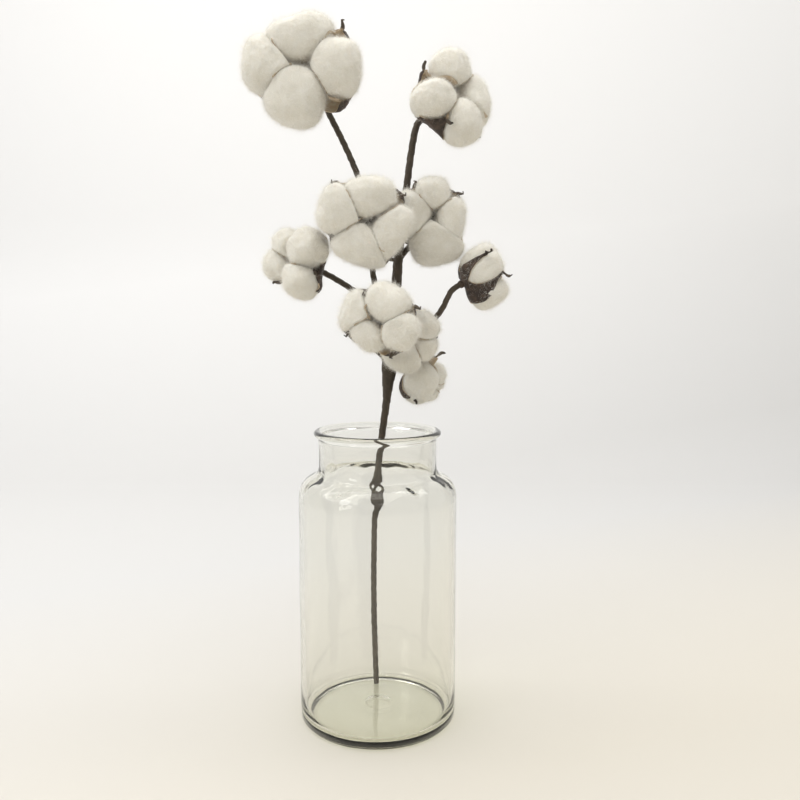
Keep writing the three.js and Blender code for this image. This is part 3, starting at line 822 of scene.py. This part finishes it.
husk, tree = new_material("dried_burr")
place = tree.node("ShaderNodeTexCoord")["Object"]
inner = tree.node("ShaderNodeAttribute", {"attribute_name": "inside"})["Fac"]
tipped = tree.node("ShaderNodeAttribute", {"attribute_name": "horn"})["Fac"]
mottle = tree.node("ShaderNodeTexNoise", {}, {"Vector": place, "Scale": 230.0, "Detail": 5.0})[0]
streak = ((mottle - 0.42) * 3.5).clamped()
outer_colour = tree.blend(streak, BURR_DARK, BURR_BROWN)
inner_colour = tree.blend(streak, BURR_TAN, BURR_STRAW)
colour = tree.blend(((inner - 0.35) * 3.0).clamped(), outer_colour, inner_colour)
colour = tree.blend(tipped * 0.93, colour, HORN_DARK)
grain = tree.node("ShaderNodeTexNoise", {}, {"Vector": place, "Scale": 900.0, "Detail": 3.0})[0]
bumpy = tree.node("ShaderNodeBump", {}, {"Strength": 0.45, "Distance": 0.0004, "Height": grain})
shell = tree.node("ShaderNodeBsdfPrincipled", {}, {
    "Base Color": colour, "Roughness": 0.62, "Normal": bumpy[0],
})
finish_material(tree, Surface=shell[0])

for count, (name, boll) in enumerate(BOLLS.items()):
    burr = burr_piece("dried_burr_" + name, boll, 11.3 * count)
    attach(burr, "root")
    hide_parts(name + "_burr")


# --------------------------------------------------------------- lint locks
# Each lock is a soft tuft of raw cotton. Where it presses on its neighbours it
# flattens, and round the open side loose fibres stand off it in a fine fuzz,
# with a few longer strays.

LOCK_CELL = 0.95
PRESS, OVERLAP = 5.0, 0.5
FILLED_WITHIN, FILLED_BEYOND = 7.0, 6.0
LUMP_HIGH, CLUMP_HIGH, GRAIN_HIGH, GROOVE_DEEP = 1.1, 0.6, 0.15, 0.4
LUMP_SIZE, CLUMP_SIZE, GRAIN_SIZE, GROOVE_SIZE = 13, 6, 2.3, 4.2
FUZZ_PER_MM2, CURLS_PER_MM2, STRAYS_PER_MM2 = 1.3, 0.35, 0.010
FUZZ_LENGTH, STRAY_LENGTH, FIBRE_RADIUS = 3.4, 9, 0.06
LINT_CREAM, LINT_WHITE, LINT_DEEP_BROWN_AND_SHADE = (0.785, 0.757, 0.683), (0.862, 0.84, 0.78), (0.50, 0.41, 0.29)
FIBRE_WHITE = (0.93, 0.91, 0.86, 1)


def fibre_group():
    """Loose fibres on a tuft: three-sided hairs, straight or curved, that lean every way."""
    group, tree, given = group_tree("loose_fibres", {
        "Geometry": "Geometry", "Fuzz": "Float", "Fuzz Length": "Float", "Curls": "Float",
        "Strays": "Float", "Stray Length": "Float", "Thickness": "Float", "Seed": "Int",
        "Lint": "Material", "Fibre": "Material",
    })
    open_side = tree.node("GeometryNodeInputNamedAttribute", {"data_type": "FLOAT"}, {0: "open"})[0]

    def hairs(density, length, bends, bow, shift):
        """Hairs of one kind, each leaned, turned and sized by chance."""
        points = tree.node("GeometryNodeDistributePointsOnFaces", {}, {
            "Mesh": given["Geometry"], "Density": density * open_side, "Seed": given["Seed"] + shift,
        })
        spike = tree.node("GeometryNodeMeshCone", {}, {
            "Vertices": 3, "Side Segments": bends, "Radius Top": 0.0, "Depth": 1.0,
            "Radius Bottom": given["Thickness"] / length,
        })["Mesh"]
        place = tree.node("GeometryNodeInputPosition")[0]
        height = tree.node("ShaderNodeSeparateXYZ", {}, {0: place})["Z"]
        bend = {"Y": bow * height * height, "Z": -0.3 * bow * height**3}
        bent = tree.node("ShaderNodeCombineXYZ", {}, bend)
        hair = tree.node("GeometryNodeSetPosition", {}, {"Geometry": spike, "Offset": bent[0]})[0]
        lean = tree.node("FunctionNodeRandomValue", {"data_type": "FLOAT_VECTOR"}, {
            "Min": (0.35, -0.3, 0.0), "Max": (1.45, 0.3, 6.283), "Seed": given["Seed"] + (shift + 5),
        })[0]
        lean = tree.node("FunctionNodeEulerToRotation", {}, {0: lean})[0]
        way = tree.node("FunctionNodeRotateRotation", {"rotation_space": "LOCAL"}, {
            "Rotation": points["Rotation"], "Rotate By": lean,
        })[0]
        size = tree.node("FunctionNodeRandomValue", {"data_type": "FLOAT"}, {
            2: 0.45, 3: 1.25, "Seed": given["Seed"] + (shift + 9),
        })[1]
        return tree.node("GeometryNodeInstanceOnPoints", {}, {
            "Points": points["Points"], "Instance": hair, "Rotation": way, "Scale": size * length,
        })[0]

    def joined(parts):
        whole = tree.tree.nodes.new("GeometryNodeJoinGeometry")
        for part in parts:
            tree.put(whole.inputs[0], part)
        return Outputs(tree, whole)[0]

    fuzz = hairs(given["Fuzz"], given["Fuzz Length"], 1, 0.0, 0)
    curls = hairs(given["Curls"], 1.3 * given["Fuzz Length"], 2, 0.5, 50)
    strays = hairs(given["Strays"], given["Stray Length"], 6, 0.75, 100)
    tuft = {"Geometry": given["Geometry"], "Material": given["Lint"]}
    tuft = tree.node("GeometryNodeSetMaterial", {}, tuft)[0]
    loose = tree.node("GeometryNodeRealizeInstances", {}, {0: joined((strays, curls, fuzz))})[0]
    loose = tree.node("GeometryNodeSetMaterial", {}, {"Geometry": loose, "Material": given["Fibre"]})[0]
    tree.node("NodeGroupOutput", {}, {0: joined((loose, tuft))})
    return group


def lint_material():
    """Raw cotton: matt and soft, cream and white in patches, and brown deep down in the middle, partly the
    boll's own brown and partly painted shade where the locks meet.
    """
    material, tree = new_material("raw_cotton")
    place = tree.node("ShaderNodeTexCoord")["Object"]
    soft = tree.node("ShaderNodeTexNoise", {}, {"Vector": place, "Scale": 120.0, "Detail": 3.0})[0]
    deep = tree.node("ShaderNodeAttribute", {"attribute_name": "deep"})["Fac"]
    colour = tree.blend(((soft - 0.35) * 2.2).clamped(), LINT_CREAM, LINT_WHITE)
    # Painted shade with some real brown: the tuft darkens to brown deep in the middle, where the locks
    # meet.
    colour = tree.blend((deep * 0.75).clamped(), colour, LINT_DEEP_BROWN_AND_SHADE)
    wisps = tree.node("ShaderNodeTexNoise", {}, {
        "Vector": place, "Scale": 420.0, "Detail": 5.0, "Distortion": 1.6,
    })[0]
    bump = tree.node("ShaderNodeBump", {}, {"Strength": 0.55, "Distance": 0.0008, "Height": wisps})
    lint = tree.node("ShaderNodeBsdfPrincipled", {}, {
        "Base Color": colour, "Roughness": 0.95, "Normal": bump[0], "Subsurface Weight": 0.35,
        "Subsurface Radius": (1.0, 0.92, 0.8), "Subsurface Scale": 0.006, "Specular IOR Level": 0.15,
    })
    finish_material(tree, Surface=lint[0])
    return material


def fibre_material():
    """A single fibre, thin and bright."""
    material, tree = new_material("loose_cotton_fibre")
    hair = tree.node("ShaderNodeBsdfPrincipled", {}, {
        "Base Color": FIBRE_WHITE, "Roughness": 0.9, "Specular IOR Level": 0.15,
    })
    finish_material(tree, Surface=hair[0])
    return material


def softly_below(values, limit, softness):
    """Each value, or the limit where that is less, with the corner between them rounded."""
    gap = np.clip(0.5 + (limit - values) / (2 * softness), 0, 1)
    return values * gap + limit * (1 - gap) - softness * gap * (1 - gap)


def tuft_noise(points, seed, size):
    """Smooth noise at each point, with bumps of about the given size."""
    return np.array([noise.noise(Vector(p) / size + Vector((seed, 0, -seed))) for p in points])


def ball_grid(cells):
    """A cube with gridded sides, as a mesh, and the directions of its points when it is a ball."""
    shape = bmesh.new()
    bmesh.ops.create_cube(shape, size=2)
    bmesh.ops.subdivide_edges(shape, edges=shape.edges[:], cuts=cells - 1, use_grid_fill=True)
    mesh = bpy.data.meshes.new("lock")
    shape.to_mesh(mesh)
    shape.free()
    ways = np.tan(np.array([v.co for v in mesh.vertices]) * math.pi / 4)
    return mesh, ways / np.linalg.norm(ways, axis=1, keepdims=True)


def lock_mesh(boll, lock, seed):
    """One lock: a plump form, roughened in soft clumps, pressed against its neighbours and fuller
    along its creases. Its attributes say what lies deep in the middle, to be darkened there with
    the boll's brown and painted shade, and what is open to the air."""
    mesh, ways = ball_grid(round(0.5 * math.pi * (lock[2] + lock[3] + boll["tall"]) / 3 / LOCK_CELL))
    plump = ways / (np.abs(ways) ** PLUMP).sum(axis=1, keepdims=True) ** (1 / PLUMP)
    sizes = lock_sizes(boll, lock, ways[:, 0] < 0)
    points = rotated(plump * sizes + (lock[1], 0, lock[4]), lock[0])
    outward = rotated(np.sign(ways) * np.abs(plump / sizes) ** (PLUMP - 1) / sizes, lock[0])
    outward /= np.linalg.norm(outward, axis=1, keepdims=True)
    lumps = LUMP_HIGH * tuft_noise(points, seed, LUMP_SIZE)
    clumps = CLUMP_HIGH * tuft_noise(points, seed + 7, CLUMP_SIZE)
    grooves = GROOVE_DEEP * (1 - np.abs(tuft_noise(points * (1, 1, 0.6), seed + 3, GROOVE_SIZE))) ** 6
    grain = GRAIN_HIGH * tuft_noise(points, seed + 5, GRAIN_SIZE)
    points += outward * (lumps + clumps - grooves + grain)[:, None]
    pressed, filled = np.zeros(len(points)), np.zeros(len(points))
    for other in boll["locks"]:
        if other is lock:
            continue
        place, away = seam(boll, lock, other)
        before = (place - points) @ away
        after = softly_below(before, OVERLAP, PRESS)
        points -= np.outer(after - before, away)
        pressed = np.maximum(pressed, before - after)
        near = np.clip(1 + before / FILLED_WITHIN, 0, 1) ** 2 * (before < OVERLAP + FILLED_BEYOND)
        filled = np.maximum(filled, near)
    axis_reach = np.hypot(points[:, 0], points[:, 1]) / boll["radius"]
    filled *= np.clip(2.2 * axis_reach, 0, 1) * np.clip((0.85 - axis_reach) / 0.35, 0, 1)
    out_of_burr = points + (0, 0, 0.7 * boll["depth"])
    out_of_burr /= np.linalg.norm(out_of_burr, axis=1, keepdims=True)
    points += out_of_burr * (CREASE_FILL * filled)[:, None]
    # Painted shade in part: points near the axis and low in the boll are marked to be darkened brown.
    deep = np.clip(1.2 - axis_reach / 0.22, 0, 1) * np.clip(1 - (points[:, 2] - 2) / 9, 0, 1)
    faced = np.clip(1 + (points[:, 2] + 0.55 * boll["tall"]) / 8, 0.25, 1)
    mesh.vertices.foreach_set("co", placed(boll, points).ravel())
    store_values(mesh, {"deep": deep, "open": np.clip(1.3 - pressed / 3, 0, 1) * faced})
    mesh.shade_smooth()
    return mesh


raw_cotton, loose_fibre = lint_material(), fibre_material()
LOOSE_FIBRES = fibre_group()
for count, (name, boll) in enumerate(BOLLS.items()):
    for k, lock in enumerate(boll["locks"]):
        seed = 10 * count + k
        tuft = grown(LOOSE_FIBRES, lock_mesh(boll, lock, 3.1 * seed), f"cotton_{name}_{k + 1}", {
            "Fuzz": FUZZ_PER_MM2 * 1e6, "Curls": CURLS_PER_MM2 * 1e6, "Strays": STRAYS_PER_MM2 * 1e6,
            "Fuzz Length": FUZZ_LENGTH * MM, "Stray Length": STRAY_LENGTH * MM,
            "Thickness": FIBRE_RADIUS * MM, "Seed": seed, "Lint": raw_cotton, "Fibre": loose_fibre,
        })
        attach(tuft, "root")
        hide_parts(f"{name}_lock_{k + 1}")
